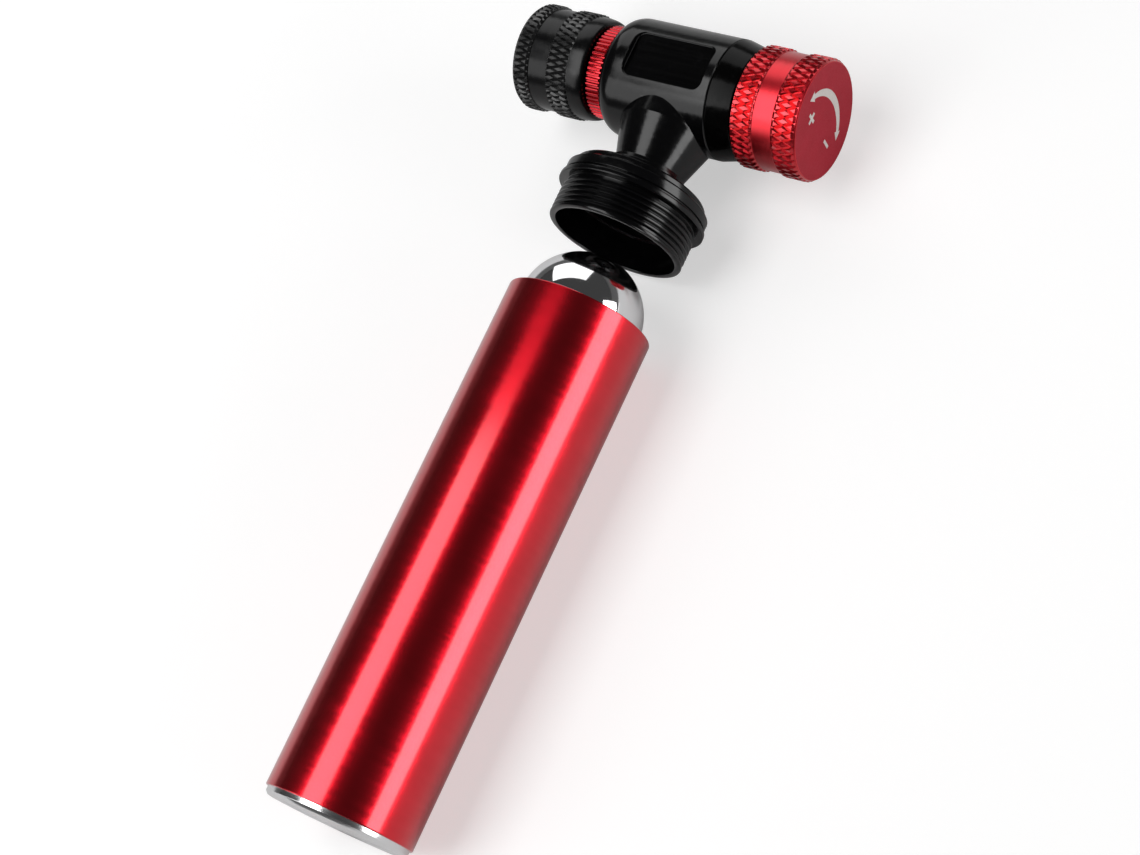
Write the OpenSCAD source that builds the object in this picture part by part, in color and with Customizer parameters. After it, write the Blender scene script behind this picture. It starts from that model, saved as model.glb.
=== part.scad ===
// Carbon dioxide tyre inflator, taken apart as for a change of cartridge: a tee-shaped
// head with a valve chuck and a control knob, and a carrying sleeve with its cartridge.
// X runs along the barrel from the chuck to the knob, -Y along the stem to the sleeve,
// and +Z out of the milled flat. The origin is the centre of the chuck's mouth.

/* [Valve chuck] */
// Diameter over the knurled bands
chuck_d = 19.2; // [17.8:0.1:22]
// Length from the mouth to the lock ring
chuck_len = 14.5; // [14:0.1:18]
// Width of the knurled band at the mouth
chuck_front_band_w = 3.3; // [2.6:0.1:3.8]
// Width of the smooth groove between the bands
chuck_groove_w = 3.9; // [2:0.1:4.3]
// Depth of the smooth groove below the bands
chuck_groove_depth = 0.45; // [0.2:0.05:0.8]
// Width of the rear knurled band
chuck_rear_band_w = 4.3; // [2:0.1:4.7]
// Diameter of the chuck's back face
chuck_back_d = 17.4; // [15.6:0.1:17.8]
// Diameter of the bore that takes the tyre valve
valve_bore_d = 7.9; // [7.6:0.05:8.1]
// Length of the bore that takes the tyre valve
valve_bore_len = 7; // [5:0.1:7.4]
// Thickness of the rubber seal behind the bore
seal_t = 2.2; // [1.4:0.1:2.4]
// Diameter of the hole in the rubber seal
seal_hole_d = 3; // [2.4:0.1:4]
// Diameter of the pin that opens the tyre valve
core_pin_d = 1.4; // [1:0.1:1.8]

/* [Lock ring] */
// Diameter over the ring's teeth
ring_d = 16.8; // [15.4:0.1:18]
// Length of the ring
ring_len = 3.2; // [2:0.1:5]
// Number of teeth round the ring
ring_teeth = 56; // [36:1:72]
// Depth of the teeth
ring_tooth_depth = 0.3; // [0.2:0.05:0.5]
// Free space on each side of the ring
ring_play = 0.3; // [0.2:0.05:0.6]

/* [Barrel] */
// Diameter of the barrel
barrel_d = 21.4; // [20.6:0.1:24]
// Length of the barrel's straight stretch
barrel_len = 19.2; // [18.4:0.1:26]
// Length of the rounded shoulder at the chuck end
shoulder_len = 3.1; // [2:0.1:4]
// Diameter of the barrel's face at the chuck end
barrel_face_d = 17.2; // [16:0.1:18.6]
// Length of the milled flat
flat_len = 15.8; // [8:0.1:18]
// Width of the milled flat
flat_w = 8.7; // [6:0.1:9.2]
// Corner radius of the milled flat
flat_corner_r = 1.6; // [0.8:0.1:2.5]
// Depth of the milled flat below the barrel's crown
flat_depth = 1.25; // [0.6:0.05:1.5]
// Bevel along the joint between barrel and gland
joint_bevel = 0.2; // [0.1:0.05:0.4]

/* [Gland] */
// Length of the gland's cone outside the barrel
gland_cap_len = 4.5; // [3:0.1:6]
// How far the cone narrows towards the knob
gland_taper = 0.95; // [0.4:0.05:2]
// Diameter of the part that screws into the barrel
gland_spigot_d = 13.9; // [12.5:0.1:15]

/* [Control knob] */
// How far the knurled bands stand proud of the barrel
knob_proud = 0; // [-1:0.05:2]
// Length of the knob
knob_len = 12.6; // [11.2:0.1:16]
// Width of the knurled band next to the gland
knob_rear_band_w = 4.1; // [3:0.1:4.6]
// Width of the smooth groove between the bands
knob_groove_w = 3.9; // [3:0.1:4.4]
// Depth of the smooth groove below the bands
knob_groove_depth = 0.35; // [0.2:0.05:0.6]
// Space between the gland and the closed knob
knob_gap = 0.4; // [0.3:0.05:0.8]
// Depth of the spindle's hole in the knob
knob_hole_depth = 9.2; // [8.4:0.1:10]
// Diameter of the grub screw that holds the knob
grub_d = 2.5; // [2:0.1:2.8]
// Length of the grub screw
grub_len = 5.6; // [4:0.1:6.4]

/* [Valve] */
// Diameter of the valve spindle
spindle_d = 5; // [4.6:0.1:5.4]
// Diameter of the chamber round the spindle's tip
chamber_d = 6.4; // [6.2:0.1:6.8]
// Diameter of the valve seat
seat_d = 8.9; // [7.6:0.1:10]
// Thickness of the valve seat
seat_t = 3; // [2:0.1:3.4]
// Diameter of the hole that the valve closes
orifice_d = 2; // [1.4:0.1:2.6]
// Thickness of the soft pad that closes the hole
pad_t = 1.4; // [1:0.1:1.8]
// Diameter of the gas passage in the stem
passage_d = 2.4; // [1.6:0.1:3]

/* [Stem and collar] */
// Distance from the barrel's axis to the collar's mouth
stem_reach = 31; // [30.2:0.1:36]
// Diameter of the stem's cone at the collar
stem_base_d = 12.4; // [11.8:0.1:13]
// Diameter of the stem's cone at the barrel
stem_top_d = 17.2; // [14:0.1:18]
// Height of each of the two steps between collar and stem
step_h = 0.95; // [0.6:0.05:1.2]
// How far the flange stands proud of the sleeve that stops against it
flange_proud = 0.8; // [0.3:0.1:2]
// Width of the flange's rim
flange_w = 3.3; // [2:0.1:4]
// Bevel from the rim to the collar's top face
flange_bevel = 1.4; // [0.6:0.1:1.8]
// Length of the sleeve's thread on the collar
thread_len = 6.1; // [5:0.1:6.4]
// Pitch of the collar's thread
thread_pitch = 1; // [0.8:0.05:1.25]
// Depth of the collar's thread
thread_depth = 0.45; // [0.3:0.05:0.5]
// Wall of the collar under its thread
collar_wall = 0.75; // [0.7:0.05:1.2]
// Depth of the collar's hollow
collar_depth = 9.6; // [9.2:0.1:10]
// Diameter of the flange of the threaded socket
socket_flange_d = 14; // [12.4:0.1:17]
// Thickness of the flange of the threaded socket
socket_flange_t = 1.2; // [0.8:0.05:1.4]
// Depth of the neck's thread below the collar's floor
neck_hole_depth = 6.6; // [6:0.1:7.2]
// Length of the piercing pin's point
pin_point_len = 2.8; // [2:0.1:3.4]

/* [Cartridge] */
// Diameter of the cartridge
cartridge_d = 22; // [21.6:0.1:24]
// Length of the cartridge
cartridge_len = 89; // [84:0.5:90]
// Wall of the cartridge
cartridge_wall = 1.1; // [0.9:0.05:1.8]
// Diameter of the threaded neck
neck_d = 9.5; // [8.8:0.05:9.6]
// Length of the threaded neck
neck_len = 8.5; // [7:0.1:10]
// Length of the rounded shoulder next to the neck
cartridge_shoulder_len = 11; // [8:0.1:16]

/* [Sleeve] */
// Wall of the sleeve round its threaded mouth
sleeve_wall = 0.6; // [0.5:0.05:2]
// Space past the collar's thread in the sleeve's mouth
mouth_room = 0.6; // [0.2:0.1:2]
// Free length between the cartridge's neck and the cushion
neck_room = 9.25; // [8.75:0.05:20]
// Height of the cartridge's dome above the rim
dome_show = 11; // [6:0.1:11.6]
// Space between the collar's mouth and the sleeve's rim
rest_gap = 14.5; // [12:0.1:30]
// Height of the end plug's rim below the sleeve
plug_rim_h = 1.3; // [0.8:0.05:3]
// Length of the end plug inside the sleeve
plug_spigot_len = 3.6; // [2:0.1:4]
// Thickness of the rubber cushion on the plug
cushion_t = 2.6; // [1.5:0.1:2.8]

/* [Hidden] */
$fn = 96;

// clearances
run_clear = 0.05;     // radial, a shaft that turns in its hole
fit_clear = 0.05;     // radial, a piece that is screwed or pressed home
thread_clear = 0.1;   // radial, the collar's thread in the sleeve
slide_clear = 0.2;    // radial, the cartridge in the collar
sleeve_clear = 0.4;   // radial, the cartridge in the sleeve
rubber_clear = 0.2;   // radial, a rubber washer in its recess or round a pin
cushion_clear = 0.3;  // radial, the cushion in the sleeve
face_clear = 0.05;    // axial, two faces that meet when closed
eps = 1;              // how far a cut runs past the face it opens
arc_step = 10;        // degrees between the points of an arc
small_fn = 32;        // sides of a small circle

// the gland and the knob, in line with the barrel
edge_bevel = 0.35;
gland_end_d = barrel_d - 2 * gland_taper;
knob_d = barrel_d + 2 * knob_proud;

// stations along the barrel
ring_x = chuck_len + ring_play;
barrel_x = ring_x + ring_len + ring_play;
barrel_end_x = barrel_x + shoulder_len + barrel_len;
stem_x = barrel_end_x - barrel_len / 2;
gland_end_x = barrel_end_x + gland_cap_len;
knob_x = gland_end_x + knob_gap;

// nose and chuck
nose_d = 12;
nose_journal_d = 10.4;
seal_play = 0.2;
seal_x = valve_bore_len + seal_play;
nose_front_x = seal_x + seal_t;
nose_journal_end_x = chuck_len + ring_play / 2;
snap_t = 1;
snap_x = (nose_front_x + chuck_len - snap_t) / 2;
snap_bite = 0.6;
snap_play = 0.1;
core_flange_d = 5.2;
core_flange_t = 1.2;
core_tip_x = valve_bore_len + seal_play / 2;

// valve
chamber_front = 2.2;
chamber_back = 3.2;
seat_end_x = stem_x - chamber_front;
seat_x = seat_end_x - seat_t;
gland_x = stem_x + chamber_back;
spindle_x = seat_end_x + face_clear + pad_t;
gland_spigot_len = barrel_end_x - gland_x - face_clear;
pad_lip = 0.1;
pad_d = spindle_d + 2 * pad_lip;
pad_stem_d = 1.8;
pad_stem_len = 1.6;
pad_stem_play = 0.3;
oring_t = 1;
oring_play = 0.15;
oring_space = oring_t + oring_play;
groove_t = 1.2;
groove_depth = 0.85;

// stem and collar, as distances from the barrel's axis
thread_crest_d = cartridge_d + 2 * (slide_clear + collar_wall + thread_depth);
thread_root_d = thread_crest_d - 2 * thread_depth;
collar_bore_d = cartridge_d + 2 * slide_clear;
sleeve_mouth_d = thread_crest_d + 2 * thread_clear;
sleeve_d = sleeve_mouth_d + 2 * sleeve_wall;
flange_d = sleeve_d + 2 * flange_proud;
thread_relief = 0.5;
thread_flank = 0.35;  // shares of the pitch
thread_crest = 0.25;
thread_turns = floor(thread_len / thread_pitch + 0.01);
flange_s = stem_reach - thread_len - thread_relief;
collar_top_s = flange_s - flange_w - flange_bevel;
collar_floor_s = stem_reach - collar_depth;
stem_base_s = collar_top_s - 2 * step_h;
stem_sink = 1.4;
stem_top_s = barrel_d / 2 - stem_sink;
step_inset = 0.75;
socket_spigot_len = 3;
neck_bite = 0.3;
socket_bore_d = neck_d - 2 * neck_bite;
socket_wall = 0.75;
socket_spigot_d = socket_bore_d + 2 * socket_wall;
neck_hole_s = collar_floor_s - neck_hole_depth;
pin_flange_d = 6.8;
pin_flange_t = 1.2;
pin_d = 2;
pin_bore_d = 0.8;
pierce_seal_t = 1.6;

// sleeve and cartridge
sleeve_s = stem_reach + rest_gap;
dome_s = sleeve_s - dome_show;
neck_tip_s = dome_s + cartridge_len;
cushion_s = neck_tip_s + neck_room;
sleeve_end_s = cushion_s + cushion_t + face_clear + plug_spigot_len;
sleeve_len = sleeve_end_s - sleeve_s;
sleeve_bore_d = cartridge_d + 2 * sleeve_clear;
sleeve_mouth_depth = thread_len + thread_relief + mouth_room;
neck_wall = 2.2;
cap_rim = 1.5;
cap_d = neck_d - 2 * cap_rim;
cap_t = 0.6;
plug_inset = 0.45;
plug_bevel = 0.5;

// turns a shape drawn along Z so that it runs along the barrel, from station x
module along_barrel(x) { translate([x, 0, 0]) rotate([0, 90, 0]) children(); }

// turns a shape drawn along Z so that it runs down the stem, from distance s
module down_stem(s) { translate([stem_x, -s, 0]) rotate([90, 0, 0]) children(); }

// a plain round bar or hole along Z
module bar(d, len) { cylinder(d = d, h = len); }

// a ring along Z
module ring(d, hole_d, len) {
    difference() {
        bar(d, len);
        translate([0, 0, -eps]) bar(hole_d, len + 2 * eps);
    }
}

// a rubber ring of round section, standing on Z = 0
module o_ring(inner_d, t) {
    rotate_extrude() translate([inner_d / 2 + t / 2, t / 2]) circle(d = t, $fn = small_fn);
}

// a rectangle with round corners, centred
module round_rect(w, h, r) {
    square([w - 2 * r, h], center = true);
    square([w, h - 2 * r], center = true);
    for (x = [-1, 1], y = [-1, 1])
        translate([x * (w / 2 - r), y * (h / 2 - r)]) circle(r = r, $fn = small_fn);
}

// radius and height of the points along a quarter ellipse, from (r0, z0) to (r1, z1),
// that starts square to the axis and ends along it
function quarter(r0, z0, r1, z1) =
    [for (a = [0:arc_step:90]) [r0 + (r1 - r0) * sin(a), z0 + (z1 - z0) * (1 - cos(a))]];

// points along the ridges of a thread, from height z0
function thread_points(root_d, depth, pitch, count, z0) =
    [for (i = [0:count - 1], p = [[0, 0], [depth, thread_flank],
                                     [depth, thread_flank + thread_crest],
                                     [0, 2 * thread_flank + thread_crest]])
        [root_d / 2 + p[0], z0 + (i + p[1]) * pitch]];

// outline of the barrel, with its rounded shoulder
function barrel_outline() = concat(
    [[0, 0]],
    quarter(barrel_face_d / 2, 0, barrel_d / 2, shoulder_len),
    [[barrel_d / 2, shoulder_len + barrel_len - joint_bevel],
     [barrel_d / 2 - joint_bevel, shoulder_len + barrel_len],
     [0, shoulder_len + barrel_len]]);

// outline of the stem's cone, its two steps and the collar with its thread
function stem_outline() = concat(
    [[0, 0],
     [stem_top_d / 2, 0],
     [stem_top_d / 2, stem_top_s],
     [stem_base_d / 2, stem_base_s],
     [stem_base_d / 2 + step_inset, stem_base_s],
     [stem_base_d / 2 + step_inset, stem_base_s + step_h],
     [stem_base_d / 2 + 2 * step_inset, stem_base_s + step_h],
     [stem_base_d / 2 + 2 * step_inset, collar_top_s],
     [flange_d / 2 - flange_bevel, collar_top_s],
     [flange_d / 2, collar_top_s + flange_bevel],
     [flange_d / 2, flange_s],
     [thread_root_d / 2, flange_s]],
    thread_points(thread_root_d, thread_depth, thread_pitch, thread_turns,
                  flange_s + thread_relief),
    [[thread_root_d / 2, stem_reach],
     [0, stem_reach]]);

// outline of the cartridge, or of the space inside it where wall is over 0
function cartridge_outline(wall) =
    let (r = cartridge_d / 2 - wall,
         neck_r = neck_d / 2 - (wall > 0 ? neck_wall : 0),
         base = cartridge_len - neck_len - cartridge_shoulder_len,
         tip = cartridge_len + (wall > 0 ? eps : 0))
    concat(
        [for (a = [0:arc_step:90]) [r * sin(a), wall + r * (1 - cos(a))]],
        [for (a = [0:arc_step:90])
            [neck_r + (r - neck_r) * cos(a), base + (cartridge_shoulder_len - wall) * sin(a)]],
        [[neck_r, tip], [0, tip]]);

// barrel, stem and collar in one machined piece
module head_body() {
    color("#1b1b1e") difference() {
        union() {
            along_barrel(barrel_x) rotate_extrude() polygon(barrel_outline());
            down_stem(0) rotate_extrude() polygon(stem_outline());
        }
        // milled flat
        translate([stem_x, 0, barrel_d / 2 - flat_depth])
            linear_extrude(flat_depth + eps) round_rect(flat_len, flat_w, flat_corner_r);
        // nose, seat, chamber and gland, in line
        along_barrel(barrel_x - eps) bar(nose_d + 2 * fit_clear, seat_x - barrel_x + eps);
        along_barrel(seat_x - face_clear) bar(seat_d + 2 * fit_clear, seat_t + face_clear);
        along_barrel(seat_end_x - eps) bar(chamber_d, gland_x - seat_end_x + 2 * eps);
        along_barrel(gland_x) bar(gland_spigot_d + 2 * fit_clear, barrel_end_x - gland_x + eps);
        // gas passage, piercing pin, neck and socket, and the collar's hollow
        down_stem(0) bar(passage_d, neck_hole_s);
        down_stem(neck_hole_s - pin_flange_t) bar(pin_flange_d + 2 * fit_clear, pin_flange_t + eps);
        down_stem(neck_hole_s) bar(socket_bore_d, collar_floor_s - neck_hole_s + eps);
        down_stem(collar_floor_s - socket_spigot_len)
            bar(socket_spigot_d + 2 * fit_clear, socket_spigot_len + eps);
        down_stem(collar_floor_s) bar(collar_bore_d, collar_depth + eps);
    }
}

// screwed end of the barrel, in which the spindle turns
module gland() {
    len = gland_end_x - gland_x - face_clear;
    bevel = joint_bevel;
    color("#151517") along_barrel(gland_x + face_clear) difference() {
        rotate_extrude() polygon([
            [0, 0], [gland_spigot_d / 2, 0], [gland_spigot_d / 2, gland_spigot_len],
            [barrel_d / 2 - bevel, gland_spigot_len], [barrel_d / 2, gland_spigot_len + bevel],
            [gland_end_d / 2, len - bevel], [gland_end_d / 2 - bevel, len], [0, len]]);
        translate([0, 0, -eps]) bar(spindle_d + 2 * run_clear, len + 2 * eps);
        translate([0, 0, -eps]) bar(spindle_d + 2 * (run_clear + oring_t + fit_clear), oring_space + eps);
        translate([0, 0, gland_spigot_len / 2])
            ring(gland_spigot_d + eps, gland_spigot_d - 2 * groove_depth, groove_t);
    }
}

// seal between the gland and the barrel
module gland_oring() {
    t = groove_depth - fit_clear;
    color("#222222")
        along_barrel(gland_x + face_clear + gland_spigot_len / 2 + (groove_t - t) / 2)
        o_ring(gland_spigot_d - 2 * groove_depth, t);
}

// seal round the spindle, held between the gland and the barrel's shoulder
module spindle_oring() {
    color("#222222") along_barrel(gland_x + face_clear + oring_play / 2)
        o_ring(spindle_d + 2 * run_clear, oring_t);
}

// brass seat that the soft pad closes
module valve_seat() {
    color("#c9a227") along_barrel(seat_x) ring(seat_d, orifice_d, seat_t);
}

// hollow screw that carries the chuck and the lock ring
module nose() {
    len = seat_x - face_clear - nose_front_x;
    journal_len = nose_journal_end_x - nose_front_x;
    color("#c9a227") along_barrel(nose_front_x) difference() {
        union() {
            bar(nose_journal_d, journal_len + eps);
            translate([0, 0, journal_len]) bar(nose_d, len - journal_len);
        }
        translate([0, 0, -eps]) bar(passage_d, len + 2 * eps);
        translate([0, 0, -eps]) bar(core_flange_d + 2 * fit_clear, core_flange_t + eps);
        translate([0, 0, snap_x - nose_front_x])
            ring(nose_journal_d + eps, nose_journal_d - 2 * snap_bite, snap_t);
    }
}

// split ring that keeps the chuck on the nose
module nose_snap_ring() {
    gap = 2.4;
    color("#9a9a9a") along_barrel(snap_x) difference() {
        ring(nose_journal_d + 2 * snap_bite, nose_journal_d - 2 * snap_bite, snap_t);
        translate([0, -gap / 2, -eps]) cube([nose_journal_d, gap, snap_t + 2 * eps]);
    }
}

// pin with a slotted flange that opens the tyre valve
module core_pin() {
    slots = 3;
    slot_w = 1;
    color("#c9a227") {
        along_barrel(nose_front_x) difference() {
            bar(core_flange_d, core_flange_t);
            for (i = [0:slots - 1]) rotate([0, 0, i * 360 / slots])
                translate([core_pin_d / 2, -slot_w / 2, -eps])
                    cube([core_flange_d, slot_w, core_flange_t + 2 * eps]);
        }
        along_barrel(core_tip_x) bar(core_pin_d, nose_front_x + core_flange_t - core_tip_x);
    }
}

// rubber washer that seals on the tyre valve
module chuck_seal() {
    color("#2b2b2b") along_barrel(seal_x) ring(nose_journal_d - 2 * rubber_clear, seal_hole_d, seal_t);
}

// threaded bush in the collar's floor that takes the cartridge's neck
module socket_insert() {
    color("#3a3a3e") down_stem(collar_floor_s - socket_spigot_len) difference() {
        union() {
            bar(socket_spigot_d, socket_spigot_len + eps / 2);
            translate([0, 0, socket_spigot_len]) bar(socket_flange_d, socket_flange_t);
        }
        translate([0, 0, -eps])
            bar(socket_bore_d, socket_spigot_len + socket_flange_t + 2 * eps);
    }
}

// rubber washer that seals on the cartridge's neck
module pierce_seal() {
    color("#2b2b2b") down_stem(neck_hole_s)
        ring(socket_bore_d - 2 * fit_clear, pin_d + 2 * rubber_clear, pierce_seal_t);
}

// hollow needle on a flange
module piercing_pin() {
    cone_len = pin_d;
    color("#b8b8bc") down_stem(neck_hole_s - pin_flange_t) difference() {
        union() {
            bar(pin_flange_d, pin_flange_t);
            bar(pin_d, pin_flange_t + pin_point_len - cone_len);
            translate([0, 0, pin_flange_t + pin_point_len - cone_len])
                cylinder(d1 = pin_d, d2 = pin_bore_d, h = cone_len);
        }
        translate([0, 0, -eps]) bar(pin_bore_d, pin_flange_t + pin_point_len + 2 * eps);
    }
}

// knurled chuck that screws onto the tyre valve
module chuck_cap() {
    groove_x = chuck_front_band_w;
    rear_x = groove_x + chuck_groove_w;
    plain_x = rear_x + chuck_rear_band_w;
    groove_r = chuck_d / 2 - chuck_groove_depth;
    color("#1b1b1e") along_barrel(0) difference() {
        rotate_extrude() polygon(concat(
            [[0, 0], [chuck_d / 2 - edge_bevel, 0], [chuck_d / 2, edge_bevel],
             [chuck_d / 2, groove_x], [groove_r, groove_x], [groove_r, rear_x],
             [chuck_d / 2, rear_x], [chuck_d / 2, plain_x]],
            [for (a = [0:arc_step:90])
                [chuck_back_d / 2 + (chuck_d - chuck_back_d) / 2 * cos(a),
                 plain_x + (chuck_len - plain_x) * sin(a)]],
            [[0, chuck_len]]));
        translate([0, 0, -eps]) bar(valve_bore_d, valve_bore_len + 2 * eps);
        translate([0, 0, valve_bore_len]) bar(nose_journal_d + 2 * run_clear, chuck_len);
        translate([0, 0, snap_x - snap_play])
            bar(nose_journal_d + 2 * (snap_bite + snap_play), snap_t + 2 * snap_play);
    }
}

// ring with straight teeth, free to turn between the chuck and the barrel
module lock_ring() {
    pitch = 360 / ring_teeth;
    tip = 0.2;
    flank = 0.3;
    color("#c8102e") along_barrel(ring_x) difference() {
        linear_extrude(ring_len) polygon([
            for (i = [0:ring_teeth - 1],
                 p = [[-tip, 0], [tip, 0], [tip + flank / 2, 1], [1 - tip - flank / 2, 1]])
                (ring_d / 2 - p[1] * ring_tooth_depth)
                    * [cos((i + p[0]) * pitch), sin((i + p[0]) * pitch)]]);
        translate([0, 0, -eps]) bar(nose_d + 2 * run_clear, ring_len + 2 * eps);
    }
}

// soft pad that closes the seat, with a stem that turns in the spindle
module valve_pad() {
    color("#e8e4d8") along_barrel(seat_end_x + face_clear) {
        bar(pad_d, pad_t - face_clear);
        bar(pad_stem_d, pad_t + pad_stem_len);
    }
}

// threaded spindle between the pad and the knob
module valve_spindle() {
    hole_len = pad_stem_len + pad_stem_play;
    color("#b08d3c") along_barrel(spindle_x) difference() {
        bar(spindle_d, knob_x + knob_hole_depth - face_clear - spindle_x);
        translate([0, 0, -eps]) bar(pad_stem_d + 2 * run_clear, hole_len + eps);
    }
}

// knurled knob that opens and closes the valve
module control_knob() {
    groove_x = knob_rear_band_w;
    front_x = groove_x + knob_groove_w;
    groove_r = knob_d / 2 - knob_groove_depth;
    color("#c8102e") along_barrel(knob_x) difference() {
        rotate_extrude() polygon([
            [0, 0], [knob_d / 2 - edge_bevel, 0], [knob_d / 2, edge_bevel],
            [knob_d / 2, groove_x], [groove_r, groove_x], [groove_r, front_x],
            [knob_d / 2, front_x], [knob_d / 2, knob_len - edge_bevel],
            [knob_d / 2 - edge_bevel, knob_len], [0, knob_len]]);
        translate([0, 0, -eps]) bar(spindle_d + 2 * fit_clear, knob_hole_depth + eps);
        translate([0, 0, groove_x + knob_groove_w / 2]) rotate([0, 90, 0])
            bar(grub_d + 2 * fit_clear, knob_d / 2 + eps);
    }
}

// grub screw in the knob's groove, on its underside
module knob_grub_screw() {
    key_d = 0.6 * grub_d;
    key_depth = 1.6;
    color("#555558") along_barrel(knob_x + knob_rear_band_w + knob_groove_w / 2)
        rotate([0, 90, 0]) translate([0, 0, spindle_d / 2 + fit_clear]) difference() {
            bar(grub_d, grub_len);
            translate([0, 0, grub_len - key_depth])
                cylinder(d = key_d, h = key_depth + eps, $fn = 6);
        }
}

// steel cartridge, lying with its dome towards the head
module cartridge_shell() {
    ridge = 0.35;
    neck_s = cartridge_len - neck_len;
    ridge_pitch = 1.06;
    margin = 1;
    ridges = floor((neck_len - 2 * margin) / ridge_pitch + 0.5);
    color("#d8d8dc") down_stem(dome_s) difference() {
        rotate_extrude() polygon(cartridge_outline(0));
        rotate_extrude() polygon(cartridge_outline(cartridge_wall));
        for (i = [0:ridges - 1]) translate([0, 0, neck_s + margin + i * ridge_pitch])
            ring(neck_d + eps, neck_d - 2 * ridge, ridge_pitch / 2);
        translate([0, 0, cartridge_len - cap_t])
            bar(cap_d + 2 * fit_clear, cap_t + eps);
    }
}

// thin disc that closes the neck until it is pierced
module cartridge_cap() {
    color("#c0c0c4") down_stem(neck_tip_s - cap_t) bar(cap_d, cap_t);
}

// rubber disc at the bottom of the sleeve
module cushion() {
    color("#2f2f33") down_stem(cushion_s) bar(sleeve_bore_d - 2 * cushion_clear, cushion_t);
}

// carrying sleeve that screws onto the collar
module sleeve() {
    edge = 0.25;
    mouth_edge = 0.1;
    step = 0.5;
    color("#c8102e") down_stem(sleeve_s) rotate_extrude() polygon([
        [sleeve_mouth_d / 2 + mouth_edge, 0],
        [sleeve_d / 2 - edge, 0],
        [sleeve_d / 2, edge],
        [sleeve_d / 2, sleeve_len - edge],
        [sleeve_d / 2 - edge, sleeve_len],
        [sleeve_bore_d / 2, sleeve_len],
        [sleeve_bore_d / 2, sleeve_mouth_depth + step],
        [sleeve_mouth_d / 2, sleeve_mouth_depth],
        [sleeve_mouth_d / 2, mouth_edge]]);
}

// bright plug that closes the sleeve
module end_plug() {
    rim_d = sleeve_d - 2 * plug_inset;
    color("#dcdce0") down_stem(sleeve_end_s - plug_spigot_len) rotate_extrude() polygon([
        [0, 0],
        [sleeve_bore_d / 2 - fit_clear, 0],
        [sleeve_bore_d / 2 - fit_clear, plug_spigot_len],
        [rim_d / 2, plug_spigot_len],
        [rim_d / 2, plug_spigot_len + plug_rim_h - plug_bevel],
        [rim_d / 2 - plug_bevel, plug_spigot_len + plug_rim_h],
        [0, plug_spigot_len + plug_rim_h]]);
}

head_body();
gland();
gland_oring();
spindle_oring();
valve_seat();
nose();
nose_snap_ring();
core_pin();
chuck_seal();
socket_insert();
pierce_seal();
piercing_pin();
chuck_cap();
lock_ring();
valve_pad();
valve_spindle();
control_knob();
knob_grub_screw();
cartridge_shell();
cartridge_cap();
cushion();
sleeve();
end_plug();
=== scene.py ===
import math

import bmesh
import bpy
from mathutils import Matrix, Vector


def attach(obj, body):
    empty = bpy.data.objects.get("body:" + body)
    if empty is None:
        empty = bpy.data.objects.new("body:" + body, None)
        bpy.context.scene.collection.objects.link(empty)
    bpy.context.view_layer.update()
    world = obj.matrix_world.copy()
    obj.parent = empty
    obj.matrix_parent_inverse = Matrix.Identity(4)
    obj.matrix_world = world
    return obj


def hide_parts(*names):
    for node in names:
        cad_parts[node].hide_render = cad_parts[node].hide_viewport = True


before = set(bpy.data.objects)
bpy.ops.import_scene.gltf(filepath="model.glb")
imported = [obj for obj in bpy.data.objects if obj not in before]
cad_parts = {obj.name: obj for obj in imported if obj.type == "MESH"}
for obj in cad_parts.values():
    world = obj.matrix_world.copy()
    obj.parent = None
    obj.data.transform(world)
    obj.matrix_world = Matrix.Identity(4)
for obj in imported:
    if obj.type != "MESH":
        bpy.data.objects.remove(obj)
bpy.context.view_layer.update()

mm = 0.001
mergeWithin = 2e-7               # metres; points closer than this become one
stemX = 31.0                     # the stem's axis, in mm from the chuck's mouth
barrelLine, stemLine = (0.0, 0.0, 0.0), (stemX * mm, 0.0, 0.0)
alongX, alongY = (1.0, 0.0, 0.0), (0.0, 1.0, 0.0)
detail = {"marks": 2.0, "cloud": 2.0, "grain": 3.0, "scuff": 6.0}  # how fine each noise goes


# a shader socket that can stand in a sum
class Signal:
    def __init__(self, finish, socket):
        self.finish = finish
        self.socket = socket

    def maths(self, operation, first, second):
        return self.finish.node("ShaderNodeMath", {"operation": operation}, {0: first, 1: second})

    def __add__(self, other):
        return self.maths("ADD", self, other)

    def __radd__(self, other):
        return self.maths("ADD", other, self)

    def __sub__(self, other):
        return self.maths("SUBTRACT", self, other)

    def __rsub__(self, other):
        return self.maths("SUBTRACT", other, self)

    def __mul__(self, other):
        return self.maths("MULTIPLY", self, other)

    def __rmul__(self, other):
        return self.maths("MULTIPLY", other, self)


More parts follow.
